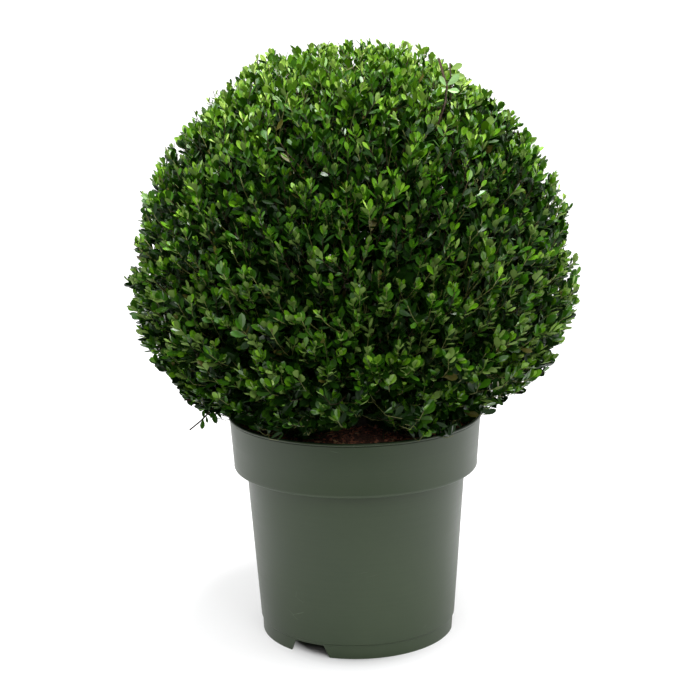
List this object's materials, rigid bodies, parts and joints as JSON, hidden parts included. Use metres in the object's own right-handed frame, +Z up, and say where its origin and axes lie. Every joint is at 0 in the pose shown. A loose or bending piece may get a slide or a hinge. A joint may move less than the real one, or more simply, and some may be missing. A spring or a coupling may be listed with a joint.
{
  "type": "potted japanese holly ball",
  "caption": "Evergreen Japanese holly clipped to a ball, growing in a round plastic nursery pot filled with potting mix.",
  "frame": {"origin": "centre of the pot's foot ring, on the floor it stands on", "axes": "+Z up; the side seen first faces -Y, with +X to its right"},
  "size_m": [0.5805, 0.5782, 0.7896],
  "materials": {
    "pot_plastic": "satin",
    "potting_mix": "rough",
    "holly_bark": "rough",
    "holly_leaf": "glossy leaves"
  },
  "bodies": {
    "root": {"pot": "pot_plastic", "potting_mix": "potting_mix", "main_stem": "holly_bark", "bough_cap": "holly_bark", "bough_upper_1": "holly_bark", "bough_upper_2": "holly_bark", "bough_upper_3": "holly_bark", "bough_upper_4": "holly_bark", "bough_upper_5": "holly_bark", "bough_skirt_1": "holly_bark", "bough_skirt_2": "holly_bark", "bough_skirt_3": "holly_bark", "bough_skirt_4": "holly_bark", "bough_skirt_5": "holly_bark", "bough_skirt_6": "holly_bark", "foliage_cap": "holly_leaf", "foliage_upper_1": "holly_leaf", "foliage_upper_2": "holly_leaf", "foliage_upper_3": "holly_leaf", "foliage_upper_4": "holly_leaf", "foliage_upper_5": "holly_leaf", "foliage_skirt_1": "holly_leaf", "foliage_skirt_2": "holly_leaf", "foliage_skirt_3": "holly_leaf", "foliage_skirt_4": "holly_leaf", "foliage_skirt_5": "holly_leaf", "foliage_skirt_6": "holly_leaf"}
  },
  "joints": []
}
